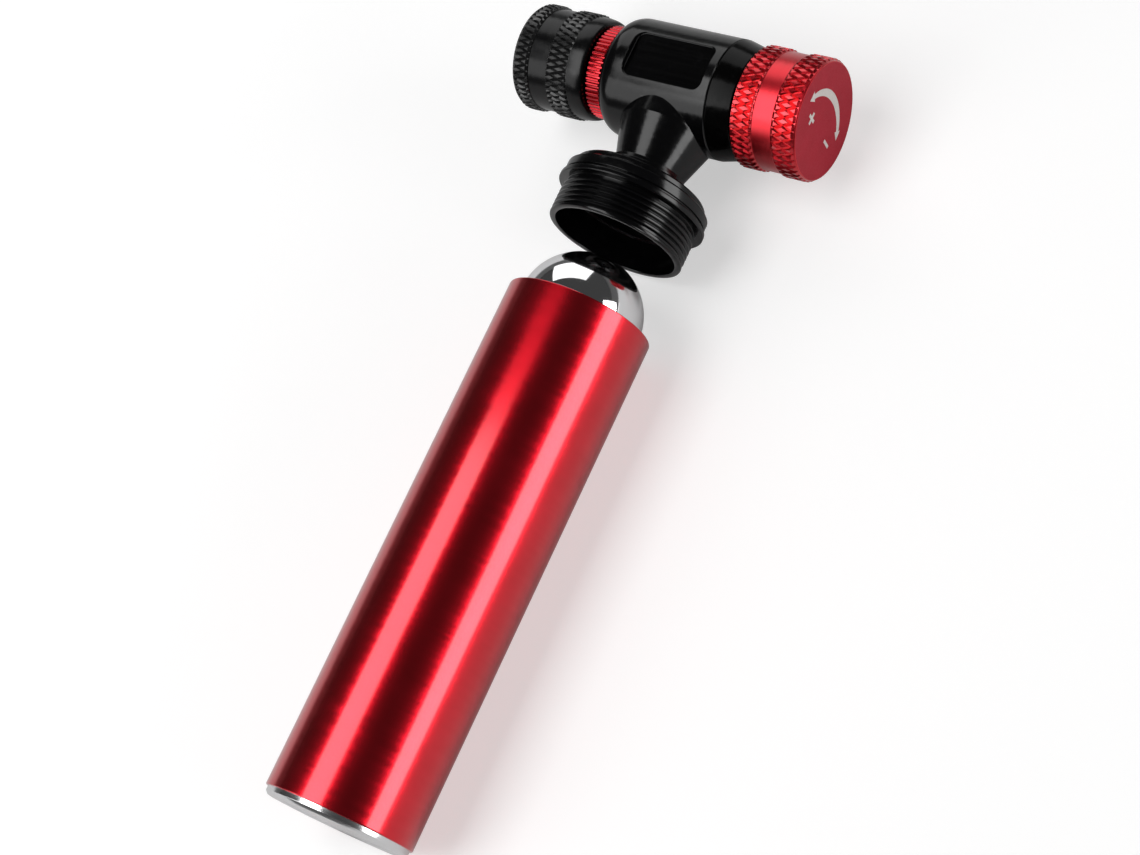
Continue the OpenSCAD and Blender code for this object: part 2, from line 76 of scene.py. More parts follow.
# one material and the nodes that make it
class Finish:
    def __init__(self, name, values):
        self.values = values
        self.material = bpy.data.materials.new(name)
        self.material.use_nodes = True
        self.tree = self.material.node_tree
        self.shader = self.tree.nodes["Principled BSDF"]
        self.give("Base Color", (*values["colour"], 1.0))
        self.give("Metallic", values.get("metallic", 0.0))
        self.give("Roughness", values["roughness"])
        self.give("Specular IOR Level", values.get("specular", 0.5))
        self.give("Coat Weight", values.get("coat", 0.0))
        self.give("Coat Roughness", values.get("coatRoughness", 0.1))

    def give(self, name, value):
        socket = self.shader.inputs[name]
        if isinstance(value, Signal):
            self.tree.links.new(value.socket, socket)
        else:
            socket.default_value = value

    def node(self, kind, settings=None, inputs=None, output=0):
        made = self.tree.nodes.new(kind)
        for key, value in (settings or {}).items():
            setattr(made, key, value)
        for key, value in (inputs or {}).items():
            if isinstance(value, Signal):
                self.tree.links.new(value.socket, made.inputs[key])
            else:
                made.inputs[key].default_value = value
        return Signal(self, made.outputs[output])

    def vector(self, operation, first, second=None, output=0):
        inputs = {0: first} if second is None else {0: first, 1: second}
        return self.node("ShaderNodeVectorMath", {"operation": operation}, inputs, output)

    def place(self):             # the place on the object, in metres
        return self.node("ShaderNodeTexCoord", output="Object")

    def noise(self, kind, vector):
        return self.node("ShaderNodeTexNoise", None,
                         {"Vector": vector, "Scale": 1.0, "Detail": detail[kind],
                          "Roughness": 0.5})

    # noise of one kind, at the finish's own number of spots in a metre
    def pattern(self, kind):
        scale = (self.values[kind],) * 3
        return self.noise(kind, self.vector("MULTIPLY", self.place(), scale))

    # marks of a turning tool: close together along the axis and across end faces,
    # slowly changing round the piece
    def turning(self, way, through):
        close, slow = self.values["marks"], self.values["round"]
        across = tuple(1.0 - abs(w) for w in way)
        slanted = (0.6 * across[0], 0.6 * across[1], 0.8)
        offset = self.vector("SUBTRACT", self.place(), through)
        along = self.vector("DOT_PRODUCT", offset, way, "Value")
        flat = self.vector("MULTIPLY", offset, across)
        radius = self.vector("LENGTH", flat, None, "Value")
        side = self.vector("DOT_PRODUCT", offset, slanted, "Value")
        spot = self.node("ShaderNodeCombineXYZ", None,
                         {0: along * close, 1: radius * close, 2: side * slow})
        return self.noise("marks", spot)

    def between(self, signal, low, high, fromLow=0.3, fromHigh=0.7):
        return self.node("ShaderNodeMapRange", None,
                         {"Value": signal, "From Min": fromLow, "From Max": fromHigh,
                          "To Min": low, "To Max": high})

    def paint(self, factor, first, second):  # inputs 6 and 7 and output 2 are the colours
        mixed = self.node("ShaderNodeMix", {"data_type": "RGBA"},
                          {0: factor, 6: (*first, 1.0), 7: (*second, 1.0)}, 2)
        self.give("Base Color", mixed)

    def roughen(self, signal):
        middle, (below, above) = self.values["roughness"], self.values["spread"]
        self.give("Roughness", self.between(signal, middle - below, middle + above))

    def bump(self, height, normal=None):
        inputs = {"Height": height, "Distance": self.values["bump"]}
        if normal:
            inputs["Normal"] = normal
        self.give("Normal", self.node("ShaderNodeBump", None, inputs))

    # the surface leans a little to either side, mark by mark, as a turned surface does
    def leaning(self, way, marks):
        normal = self.node("ShaderNodeNewGeometry", output="Normal")
        side = self.vector("CROSS_PRODUCT", way, normal)
        shift = self.node("ShaderNodeVectorMath", {"operation": "SCALE"},
                          {0: side, "Scale": (marks - 0.5) * self.values["lean"]})
        return self.vector("NORMALIZE", self.vector("ADD", normal, shift))


# marks, round, cloud, grain, scuff, across and along are spots in a metre; spread is how
# far the roughness goes below and above
redAnodised = {
    "colour": (0.80, 0.009, 0.025), "deep": (0.70, 0.006, 0.018), "metallic": 1.0,
    "roughness": 0.26, "spread": (0.01, 0.01), "coat": 1.0, "coatRoughness": 0.12,
    "marks": 1200.0, "round": 140.0, "cloud": 150.0, "lean": 0.065, "bump": 0.0000006,
}
redKnob = {
    "colour": (0.74, 0.009, 0.024), "deep": (0.64, 0.006, 0.017), "roughness": 0.33,
    "coat": 0.7, "coatRoughness": 0.28,
}
redKnurl = {
    "colour": (0.70, 0.007, 0.02), "deep": (0.56, 0.004, 0.012), "roughness": 0.28,
    "coat": 1.0, "coatRoughness": 0.18,
}
redRing = {
    "colour": (0.56, 0.006, 0.018), "deep": (0.42, 0.003, 0.01), "roughness": 0.24,
    "coat": 0.7, "coatRoughness": 0.15,
}
redFace = {
    "colour": (0.45, 0.013, 0.032), "deep": (0.40, 0.01, 0.026), "metallic": 0.6,
    "roughness": 0.5, "spread": (0.05, 0.05), "grain": 4000.0, "cloud": 260.0,
    "bump": 0.000008,
}
blackAnodised = {
    "colour": (0.0015, 0.0015, 0.0018), "worn": (0.006, 0.006, 0.0065), "wear": (0.62, 0.8),
    "roughness": 0.15, "spread": (0.02, 0.06), "specular": 0.36,
    "marks": 1800.0, "round": 100.0, "scuff": 900.0, "lean": 0.05, "bump": 0.0000006,
}
blackGland = {"colour": (0.001, 0.001, 0.001), "specular": 0.13}
blackChuck = {"roughness": 0.2, "specular": 0.3}
blackKnurl = {"roughness": 0.27, "specular": 0.6}
milledBlack = {
    "colour": (0.001, 0.001, 0.0012), "worn": (0.004, 0.004, 0.0045), "wear": (0.6, 0.8),
    "roughness": 0.14, "spread": (0.0, 0.06), "specular": 0.12,
    "across": 2400.0, "along": 60.0, "scuff": 900.0, "bump": 0.0000008,
}
chromed = {
    "colour": (0.94, 0.94, 0.95), "metallic": 1.0, "roughness": 0.05, "spread": (0.0, 0.05),
    "grain": 120.0,
}
turnedBright = {
    "colour": (0.86, 0.86, 0.87), "metallic": 1.0, "roughness": 0.14, "spread": (0.0, 0.08),
    "marks": 2600.0, "round": 40.0, "bump": 0.000004,
}
inside = {
    "shared": {"spread": (0.06, 0.06), "shade": 0.8, "grain": 1800.0, "bump": 0.000006},
    "brass": {"colour": (0.72, 0.50, 0.19), "metallic": 1.0, "roughness": 0.28},
    "springSteel": {"colour": (0.46, 0.46, 0.47), "metallic": 1.0, "roughness": 0.3},
    "darkSteel": {"colour": (0.16, 0.16, 0.17), "metallic": 1.0, "roughness": 0.35},
    "blackRubber": {"colour": (0.02, 0.02, 0.021), "roughness": 0.62},
    "whiteNylon": {"colour": (0.78, 0.75, 0.68), "roughness": 0.45},
}
silverPrint = {
    "colour": (0.62, 0.58, 0.55), "metallic": 0.3, "roughness": 0.4, "spread": (0.05, 0.05),
    "shade": 1.15, "grain": 5000.0,
}


def redFinish(name, way, through, changes=None):
    values = {**redAnodised, **(changes or {})}
    made = Finish(name, values)
    marks = made.turning(way, through)
    cloud = made.pattern("cloud")
    half = 0.5                   # of the tint from the cloud, and half from the marks
    mixed = made.between(cloud, 0.0, half) + made.between(marks, 0.0, half)
    made.paint(mixed, values["deep"], values["colour"])
    made.roughen(cloud)
    made.bump(marks, made.leaning(way, marks))
    return made.material


def faceFinish(name, values):
    made = Finish(name, values)
    grain = made.pattern("grain")
    cloud = made.pattern("cloud")
    made.paint(made.between(cloud, 0.0, 1.0), values["deep"], values["colour"])
    made.roughen(grain)
    made.bump(grain)
    return made.material


def blackFinish(name, way, through, changes=None):
    values = {**blackAnodised, **(changes or {})}
    made = Finish(name, values)
    marks = made.turning(way, through)
    scuff = made.pattern("scuff")
    made.paint(made.between(scuff, 0.0, 1.0, *values["wear"]), values["colour"], values["worn"])
    made.roughen(scuff)
    made.bump(marks, made.leaning(way, marks))
    return made.material


def milledFinish(name, values):
    made = Finish(name, values)
    scale = (values["along"], values["across"], values["along"])
    marks = made.noise("marks", made.vector("MULTIPLY", made.place(), scale))
    scuff = made.pattern("scuff")
    made.paint(made.between(scuff, 0.0, 1.0, *values["wear"]), values["colour"], values["worn"])
    made.roughen(marks)
    made.bump(marks)
    return made.material


def chromeFinish(name, values):
    made = Finish(name, values)
    made.roughen(made.pattern("grain"))
    return made.material


def brightFinish(name, way, through, values):
    made = Finish(name, values)
    marks = made.turning(way, through)
    made.roughen(marks)
    made.bump(marks)
    return made.material


def innerFinish(name):
    values = {**inside["shared"], **inside[name]}
    made = Finish(name, values)
    grain = made.pattern("grain")
    dark = tuple(values["shade"] * c for c in values["colour"])
    made.paint(made.between(grain, 0.0, 1.0), dark, values["colour"])
    made.roughen(grain)
    made.bump(grain)
    return made.material


def printFinish(name, values):
    made = Finish(name, values)
    grain = made.pattern("grain")
    light = tuple(min(1.0, values["shade"] * c) for c in values["colour"])
    made.paint(made.between(grain, 0.0, 1.0), values["colour"], light)
    made.roughen(grain)
    return made.material


finishes = {
    "black_anodised": blackFinish("blackStem", alongY, stemLine),
    "black_barrel": blackFinish("blackBarrel", alongX, barrelLine),
    "black_flat": milledFinish("blackFlat", milledBlack),
    "black_gland": blackFinish("blackGland", alongX, barrelLine, blackGland),
    "black_chuck": blackFinish("blackChuck", alongX, barrelLine, blackChuck),
    "black_knurl": blackFinish("blackKnurl", alongX, barrelLine, blackKnurl),
    "red_ring": redFinish("redRing", alongX, barrelLine, redRing),
    "red_knob": redFinish("redKnob", alongX, barrelLine, redKnob),
    "red_knurl": redFinish("redKnurl", alongX, barrelLine, redKnurl),
    "red_sleeve": redFinish("redSleeve", alongY, stemLine),
    "knob_face": faceFinish("redKnobFace", redFace),
    "bright_plug": brightFinish("brightPlug", alongY, stemLine, turnedBright),
    "cartridge_chrome": chromeFinish("cartridgeChrome", chromed),
    "brass": innerFinish("brass"),
    "spring_steel": innerFinish("springSteel"),
    "dark_steel": innerFinish("darkSteel"),
    "black_rubber": innerFinish("blackRubber"),
    "white_nylon": innerFinish("whiteNylon"),
    "silver_print": printFinish("silverPrint", silverPrint),
}
print("finishes made:", len(finishes))


def barrelPoint(radius, along, turn):
    angle = 2 * math.pi * turn
    return (along * mm, radius * math.cos(angle) * mm, radius * math.sin(angle) * mm)


def stemPoint(radius, along, turn):
    angle = 2 * math.pi * turn
    return ((stemX + radius * math.cos(angle)) * mm, -along * mm, radius * math.sin(angle) * mm)


# sines and cosines at even angles over a quarter turn
def quarter(steps):
    angles = [math.radians(90 * step / steps) for step in range(steps + 1)]
    return [(math.sin(angle), math.cos(angle)) for angle in angles]


# corners of (radius, along, rounding); a rounded corner becomes a short arc
def eased(corners, steps=4):
    made = []
    for index, corner in enumerate(corners):
        here = Vector(corner[:2])
        if len(corner) < 3:
            made.append(tuple(here))
            continue
        before = (Vector(corners[index - 1][:2]) - here).normalized()
        after = (Vector(corners[(index + 1) % len(corners)][:2]) - here).normalized()
        half = before.angle(after) / 2
        centre = here + (before + after).normalized() * (corner[2] / math.sin(half))
        first = here + before * (corner[2] / math.tan(half)) - centre
        last = here + after * (corner[2] / math.tan(half)) - centre
        for step in range(steps + 1):
            spoke = first.lerp(last, step / steps).normalized() * corner[2]
            made.append(tuple(centre + spoke))
    return made


# the outline of a stepped bore: each step's radius and where it ends
def stepped(start, steps):
    made = [(0.0, start)]
    for radius, end in steps:
        made += [(radius, start), (radius, end)]
        start = end
    return made


# the ridges of a screw thread as one column's points, run out at both ends
def threadColumn(turn, start, end, root, height, pitch, runOut=0.4):
    ridge = [(0.0, 0.0), (0.35, 1.0), (0.6, 1.0), (0.95, 0.0)]
    first, last = -2, math.ceil((end - start) / pitch) + 1
    column = []
    for count in range(first, last):
        for share, level in ridge:
            along = min(max(start + (count + share + turn) * pitch, start), end)
            ease = max(0.0, min(1.0, (along - start) / runOut, (end - along) / runOut))
            column.append((root + height * level * ease, along))
    return column


def meshObject(name, points, faces):
    mesh = bpy.data.meshes.new(name)
    mesh.from_pydata(points, [], faces)
    shape = bmesh.new()
    shape.from_mesh(mesh)
    bmesh.ops.remove_doubles(shape, verts=shape.verts, dist=mergeWithin)
    bmesh.ops.dissolve_degenerate(shape, edges=shape.edges, dist=mergeWithin)
    loose = [edge for edge in shape.edges if not edge.link_faces]
    bmesh.ops.delete(shape, geom=loose, context="EDGES")
    bmesh.ops.recalc_face_normals(shape, faces=shape.faces)
    closed = all(edge.is_manifold for edge in shape.edges)
    if closed and shape.calc_volume(signed=True) < 0:
        bmesh.ops.reverse_faces(shape, faces=shape.faces)
    shape.to_mesh(mesh)
    shape.free()
    made = bpy.data.objects.new(name, mesh)
    bpy.context.scene.collection.objects.link(made)
    return made


# the faces of a closed column of rings with count points each, from its first point on
def ringFaces(count, rings=2, first=0):
    last = first + (rings - 1) * count
    faces = [tuple(range(first, first + count)), tuple(range(last, last + count))]
    for near in range(first, last, count):
        for index in range(count):
            after = (index + 1) % count
            faces.append((near + index, near + after, near + count + after,
                          near + count + index))
    return faces


# a turned piece: column(turn) gives the closed outline of (radius, along) at each step
# round; split(step, row) says which way a face is cut in two, or 0 for a whole face
def turned(name, column, steps, point, split=None, turnAt=None):
    columns = [column(step / steps) for step in range(steps + 1)]
    rows = len(columns[0])
    points = []
    for step, pairs in enumerate(columns):
        turn = turnAt(step) if turnAt else step / steps
        points += [point(radius, along, turn) for radius, along in pairs]
    faces = []
    for step in range(steps):
        for row in range(rows):
            near, far = step * rows, (step + 1) * rows
            a, b = near + row, near + (row + 1) % rows
            c, d = far + (row + 1) % rows, far + row
            cut = split(step, row) if split else 0
            if cut == 1:
                faces += [(a, b, c), (a, c, d)]
            elif cut == 2:
                faces += [(a, b, d), (b, c, d)]
            else:
                faces.append((a, b, c, d))
    return meshObject(name, points, faces)


def smooth(piece, angle=28.0):
    piece.data.shade_smooth()
    piece.data.set_sharp_from_angle(angle=math.radians(angle))
    weigh = piece.modifiers.new("faceNormals", "WEIGHTED_NORMAL")
    weigh.keep_sharp = True
    return piece


def carve(piece, cutters, operation="DIFFERENCE"):
    for cutter in cutters:
        step = piece.modifiers.new("cut", "BOOLEAN")
        step.operation = operation
        step.solver = "EXACT"
        step.object = cutter
    graph = bpy.context.evaluated_depsgraph_get()
    mesh = bpy.data.meshes.new_from_object(piece.evaluated_get(graph))
    piece.modifiers.clear()
    piece.data = mesh
    for cutter in cutters:
        bpy.data.objects.remove(cutter)
    return piece


def dress(piece, body, slotName, node):
    piece.data.materials.clear()
    piece.data.materials.append(finishes[slotName])
    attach(piece, body)
    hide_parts(node)


# barrel, stem and collar; the bores are steps of (radius, end)
barrel = {
    "face": 8.6, "radius": 10.7, "start": 18.3, "shoulder": 3.1, "end": 40.6, "bevel": 0.2,
    "steps": 288, "rings": 18, "ringStep": 1.0,
    "flat": (15.8, 8.7), "flatCorner": 1.6, "floor": 9.45, "flatEdge": 0.13, "flatRoot": 0.15,
    "boreAt": 17.3, "bore": ((6.05, 25.8), (4.5, 28.8), (3.2, 34.2), (7.0, 41.6)),
    "boreSteps": 128,
}
stem = {
    "top": 8.6, "topAt": 9.3, "base": 6.2, "baseAt": 16.9, "stepIn": 0.75, "stepHigh": 0.9,
    "collarAt": 19.7, "topRing": 12.1, "topRingEnd": 20.75, "groove": 0.3,
    "band": 13.2, "bandAt": 21.05, "bandEnd": 22.9,
    "flange": 13.6, "flangeAt": 23.35, "flangeEnd": 24.4, "flangeEase": (0.25, 0.15),
    "root": 11.95, "threadAt": 24.9, "threadHigh": 0.45, "pitch": 1.0, "end": 31.0,
    "steps": 256, "lip": 12.4, "lipAt": 30.3,
    "boreAt": 0.5, "bore": ((1.2, 13.6), (3.45, 14.8), (4.45, 18.4), (5.25, 21.4)),
    "boreSteps": 192, "hollow": 10.75, "mouth": 11.2, "mouthAt": 25.0, "mouthEase": 0.2,
}


def barrelColumn():
    b = barrel
    rise, length = b["radius"] - b["face"], b["shoulder"]
    shoulder = [(b["face"] + rise * sine, b["start"] + length * (1 - cosine))
                for sine, cosine in quarter(18)]
    rings = [(b["radius"], b["start"] + length + b["ringStep"] * count)
             for count in range(1, b["rings"] + 1)]
    return [(0.0, b["start"]), *shoulder, *rings,
            (b["radius"], b["end"] - b["bevel"]), (b["radius"] - b["bevel"], b["end"]),
            (0.0, b["end"])]


# stem, foot rings, grooved flange, thread and a plain lip
def stemColumn(turn):
    s = stem
    deep, (easeIn, easeOut) = s["groove"], s["flangeEase"]
    foot, step, stepAt = s["base"], s["stepIn"], s["baseAt"] + s["stepHigh"]
    corners = eased([
        (0.0, 0.0), (s["top"], 0.0), (s["top"], s["topAt"], 0.8),
        (foot, s["baseAt"], 0.12), (foot + step, s["baseAt"], 0.08),
        (foot + step, stepAt, 0.08), (foot + 2 * step, stepAt, 0.08),
        (foot + 2 * step, s["collarAt"], 0.12),
        (s["topRing"] - deep, s["collarAt"], 0.1), (s["topRing"], s["collarAt"] + deep, 0.1),
        (s["topRing"], s["topRingEnd"], 0.08),
        (s["topRing"] - deep, s["topRingEnd"] + 0.1, 0.05),
        (s["topRing"] - deep, s["bandAt"], 0.05), (s["band"] - deep, s["bandAt"], 0.1),
        (s["band"], s["bandAt"] + deep, 0.1), (s["band"], s["bandEnd"], 0.08),
        (s["band"] - deep, s["bandEnd"] + 0.1, 0.05),
        (s["band"] - deep, s["flangeAt"] - 0.1, 0.05),
        (s["flange"] - easeIn, s["flangeAt"], 0.08),
        (s["flange"], s["flangeAt"] + easeIn, 0.08),
        (s["flange"], s["flangeEnd"] - easeOut, 0.1),
        (s["flange"] - easeOut, s["flangeEnd"], 0.05), (s["root"], s["flangeEnd"], 0.1),
        (s["root"], s["threadAt"] - 0.02)])
    thread = threadColumn(turn, s["threadAt"], s["lipAt"], s["root"], s["threadHigh"], s["pitch"])
    lip = [(s["lip"] - 0.1, s["lipAt"] + 0.1), (s["lip"], s["lipAt"] + 0.25),
           (s["lip"], s["end"] - 0.3), (s["lip"] - 0.08, s["end"] - 0.1),
           (s["lip"] - 0.3, s["end"]), (0.0, s["end"])]
    return corners + thread + lip


# the milled flat's cutter: straight walls, a small round at the floor and a bevel that
# follows the barrel's curve
def flatCutter():
    b = barrel
    halfLong, halfWide = b["flat"][0] / 2, b["flat"][1] / 2
    corner, edge, root = b["flatCorner"], b["flatEdge"], b["flatRoot"]
    arcSteps, endSteps = 8, 12
    bulge, above = 0.3 * root, 0.6   # the floor's round, and the cutter past the barrel
    outline = []                 # corner centres, each with the way out from it
    for turn, (sx, sy) in enumerate(((1, 1), (-1, 1), (-1, -1), (1, -1))):
        for step in range(arcSteps + 1):
            angle = math.radians(90 * turn + 90 * step / arcSteps)
            outline.append((sx * (halfLong - corner), sy * (halfWide - corner),
                            math.cos(angle), math.sin(angle)))
        if turn % 2:             # points across the short ends
            for step in range(1, endSteps):
                y = sy * (halfWide - corner) * (1 - 2 * step / endSteps)
                outline.append((sx * (halfLong - corner), y, float(sx), 0.0))

    def crown(y):
        return math.sqrt(b["radius"] ** 2 - y ** 2)

    # the last two levels follow the crown
    levels = ((-root, 0), (-bulge, bulge), (0, root), (0, None), (edge + above, None))
    points = []
    for offset, height in levels:
        for x, y, nx, ny in outline:
            px, py = x + (corner + offset) * nx, y + (corner + offset) * ny
            if height is not None:
                z = b["floor"] + height
            else:
                z = crown(y + corner * ny) - edge + offset
            points.append(((stemX + px) * mm, py * mm, z * mm))
    return meshObject("flatCutter", points, ringFaces(len(outline), len(levels)))


def headBody():
    b, s = barrel, stem
    column = barrelColumn()
    made = turned("headBody", lambda turn: column, b["steps"], barrelPoint)
    collar = turned("collar", stemColumn, s["steps"], stemPoint)
    made = carve(made, [collar], "UNION")
    nose = [*stepped(b["boreAt"], b["bore"]), (0.0, b["bore"][-1][1])]
    hollow = [*stepped(s["boreAt"], (*s["bore"], (s["hollow"], s["mouthAt"]))),
              (s["mouth"], s["mouthAt"] + 0.3), (s["mouth"], s["end"] - s["mouthEase"]),
              (s["mouth"] + 0.06, s["end"] - 0.06), (s["mouth"] + s["mouthEase"], s["end"]),
              (s["mouth"] + s["mouthEase"], s["end"] + 0.6), (0.0, s["end"] + 0.6)]
    bore = turned("bore", lambda turn: nose, b["boreSteps"], barrelPoint)
    well = turned("well", lambda turn: hollow, s["boreSteps"], stemPoint)
    made = smooth(carve(made, [flatCutter(), bore, well]))
    dress(made, "head", "black_anodised", "head_body")
    made.data.materials.append(finishes["black_barrel"])
    made.data.materials.append(finishes["black_flat"])
    slack = 0.01                 # mm
    for face in made.data.polygons:
        spot = face.center
        onBarrel = math.hypot(spot.y, spot.z) < (b["radius"] + 2 * slack) * mm
        flat = abs(spot.z - b["floor"] * mm) < slack * mm and face.normal.z > 0.99
        face.material_index = 2 if flat else 1 if onBarrel else 0


headBody()
print("head body made")


# screwed end of the barrel
gland = {
    "back": 34.25, "spigot": 6.95, "joint": 40.6, "radius": 10.7, "bevel": 0.2,
    "end": 45.1, "endRadius": 9.75, "bore": 2.55, "sealBore": 3.6, "sealDepth": 1.15,
    "grooveAt": 36.83, "grooveWide": 1.2, "grooveDeep": 0.85, "steps": 256,
}


def glandPiece():
    g = gland
    outline = eased([
        (g["sealBore"], g["back"]), (g["spigot"], g["back"], 0.15),
        (g["spigot"], g["grooveAt"]), (g["spigot"] - g["grooveDeep"], g["grooveAt"]),
        (g["spigot"] - g["grooveDeep"], g["grooveAt"] + g["grooveWide"]),
        (g["spigot"], g["grooveAt"] + g["grooveWide"]), (g["spigot"], g["joint"]),
        (g["radius"] - g["bevel"], g["joint"]), (g["radius"], g["joint"] + g["bevel"], 0.1),
        (g["endRadius"], g["end"] - g["bevel"], 0.25), (g["endRadius"] - g["bevel"], g["end"]),
        (g["bore"], g["end"]), (g["bore"], g["back"] + g["sealDepth"]),
        (g["sealBore"], g["back"] + g["sealDepth"])])
    made = smooth(turned("glandCone", lambda turn: outline, g["steps"], barrelPoint))
    dress(made, "head", "black_gland", "gland")


glandPiece()
print("gland made")


# a knurl's diamonds, pyramids with their tips cut off, on a grid of eighths of a diamond;
# a band is given by its start, its end and the middle of one column of diamonds
knurl = {"length": 3.5, "parts": 8, "cut": 0.5, "edge": 0.15}


def diamond(step, row):
    parts, cut = knurl["parts"], knurl["cut"]

    def slope(count):            # 0 at a crease, 1 halfway between two
        return 2 * min(count % parts, parts - count % parts) / parts

    return min(slope(step + row), slope(step - row), cut) / cut


def knurlRows(band):
    start, end, middle = band
    part = knurl["length"] / knurl["parts"]
    first = math.ceil((start + knurl["edge"] - middle) / part)
    last = math.floor((end - knurl["edge"] - middle) / part)
    return [(row, middle + row * part) for row in range(first, last + 1)]


def knurlBand(step, band, crest, depth):
    rows = [(crest - depth * (1 - diamond(step, row)), along) for row, along in knurlRows(band)]
    return [(crest - depth, band[0]), *rows, (crest - depth, band[1])]


# the smooth groove between two bands; ease is (rise, way in) for both of its corners
def knurlGroove(radius, start, end, ease):
    near = [(radius + rise, start + wayIn) for rise, wayIn in ease]
    far = [(radius + rise, end - wayIn) for rise, wayIn in ease[::-1]]
    return near + far


# cuts each face of two bands along the knurl's creases; lead and groove are the points
# of the outline before the first band and between the two
def knurlSplit(lead, firstBand, groove, secondBand):
    spans = []
    place = len(lead)
    for band in (firstBand, secondBand):
        rows = knurlRows(band)
        spans.append((place + 1, len(rows), rows[0][0]))
        place += len(rows) + 2 + len(groove)

    def split(step, row):
        for start, count, first in spans:
            if -1 <= row - start < count:
                return 1 if (step + first + row - start) % 2 == 0 else 2
        return 0

    return split


# gives the knurled bands, outside the radius, their own finish
def dressKnurl(piece, finish, radius, bands):
    piece.data.materials.append(finishes[finish])
    last = len(piece.data.materials) - 1
    for face in piece.data.polygons:
        spot = face.center
        outside = math.hypot(spot.y, spot.z) > radius * mm
        if outside and any(start * mm < spot.x < end * mm for start, end, middle in bands):
            face.material_index = last


chuck = {
    "crest": 9.6, "diamonds": 52, "depth": 0.32, "front": (0.3, 3.3, 1.15),
    "rear": (7.2, 11.5, 8.25), "groove": 9.15, "grooveEase": ((0.06, 0.02), (0.0, 0.12)),
    "back": 8.7, "end": 14.5, "mouthEase": 0.45,
    "valveAt": 0.5, "valveBore": 3.95, "valveThread": 0.3, "valvePitch": 0.79,
    "boreEnd": 7.0, "journalBore": 5.25, "snapBore": 5.95, "snapAt": (11.35, 12.55),
}


def chuckPiece():
    c = chuck
    steps = knurl["parts"] * c["diamonds"]
    root, (snapStart, snapEnd) = c["crest"] - c["depth"], c["snapAt"]
    mouth = [(c["valveBore"] + 0.02, c["mouthEase"]), (c["valveBore"] + c["mouthEase"], 0.0),
             (root - c["mouthEase"], 0.0), (root - 0.1, 0.12)]
    groove = knurlGroove(c["groove"], c["front"][1], c["rear"][0], c["grooveEase"])
    tail = [(c["back"] + (root - c["back"]) * cosine,
             c["rear"][1] + (c["end"] - c["rear"][1]) * sine) for sine, cosine in quarter(10)[1:]]
    inner = [(c["journalBore"], c["end"]), (c["journalBore"], snapEnd), (c["snapBore"], snapEnd),
             (c["snapBore"], snapStart), (c["journalBore"], snapStart),
             (c["journalBore"], c["boreEnd"])]

    def column(turn):
        step = round(turn * steps)
        front = knurlBand(step, c["front"], c["crest"], c["depth"])
        rear = knurlBand(step, c["rear"], c["crest"], c["depth"])
        valve = threadColumn(turn, c["valveAt"], c["boreEnd"], c["valveBore"],
                             c["valveThread"], c["valvePitch"])
        return mouth + front + groove + rear + tail + inner + valve[::-1]

    split = knurlSplit(mouth, c["front"], groove, c["rear"])
    made = smooth(turned("chuckCap", column, steps, barrelPoint, split), 24.0)
    dress(made, "chuck", "black_chuck", "chuck_cap")
    dressKnurl(made, "black_knurl", root - 0.05, [c["front"], c["rear"]])


chuckPiece()
print("chuck made")


lockRing = {
    "teeth": 56, "radius": 8.4, "depth": 0.36, "bore": 6.05, "start": 14.8, "end": 18.0,
    "ease": ((0.25, 0.0), (0.05, 0.12)), "toothIn": 0.35,
    # places over a tooth's width, and the tooth's height there
    "tooth": ((-0.2, 0.85), (0.0, 1.0), (0.2, 0.85), (0.38, 0.0), (0.62, 0.0)),
}


def lockRingPiece():
    r = lockRing
    count = len(r["tooth"])
    root = r["radius"] - r["depth"]
    near = [(root - fall, r["start"] + wayIn) for fall, wayIn in r["ease"]]
    far = [(root - fall, r["end"] - wayIn) for fall, wayIn in r["ease"][::-1]]

    def column(turn):
        height = r["tooth"][round(turn * count * r["teeth"]) % count][1]
        tooth = root + r["depth"] * height
        return [(r["bore"], r["start"]), *near, (tooth, r["start"] + r["toothIn"]),
                (tooth, r["end"] - r["toothIn"]), *far, (r["bore"], r["end"])]

    def turnAt(step):
        return (step // count + r["tooth"][step % count][0]) / r["teeth"]

    made = turned("lockRing", column, count * r["teeth"], barrelPoint, None, turnAt)
    dress(smooth(made, 35.0), "lock_ring", "red_ring", "lock_ring")


lockRingPiece()
print("lock ring made")


knob = {
    "crest": 10.7, "diamonds": 48, "depth": 0.34, "start": 45.5, "length": 12.6,
    "rear": (0.1, 4.1, 0.7), "front": (8.0, 12.3, 10.15), "groove": 10.35,
    "grooveEase": ((0.04, 0.03), (-0.02, 0.14)), "backEase": ((0.3, 0.0), (0.06, 0.03)),
    "lipEase": ((0.02, 0.2), (0.08, 0.06), (0.22, 0.0), (0.4, 0.0)), "faceRing": 5.0,
    "faceEdge": 0.3, "hole": 2.55, "holeDeep": 9.2,
    "grub": 1.3, "grubSpan": (2.0, 12.0), "grubSides": 48,
}


def grubCutter():
    k = knob
    sides = k["grubSides"]
    middle = k["start"] + (k["rear"][1] + k["front"][0]) / 2
    points = []
    for level in k["grubSpan"]:
        for side in range(sides):
            angle = 2 * math.pi * side / sides
            points.append(((middle + k["grub"] * math.cos(angle)) * mm,
                           k["grub"] * math.sin(angle) * mm, -level * mm))
    return meshObject("grubHole", points, ringFaces(sides))


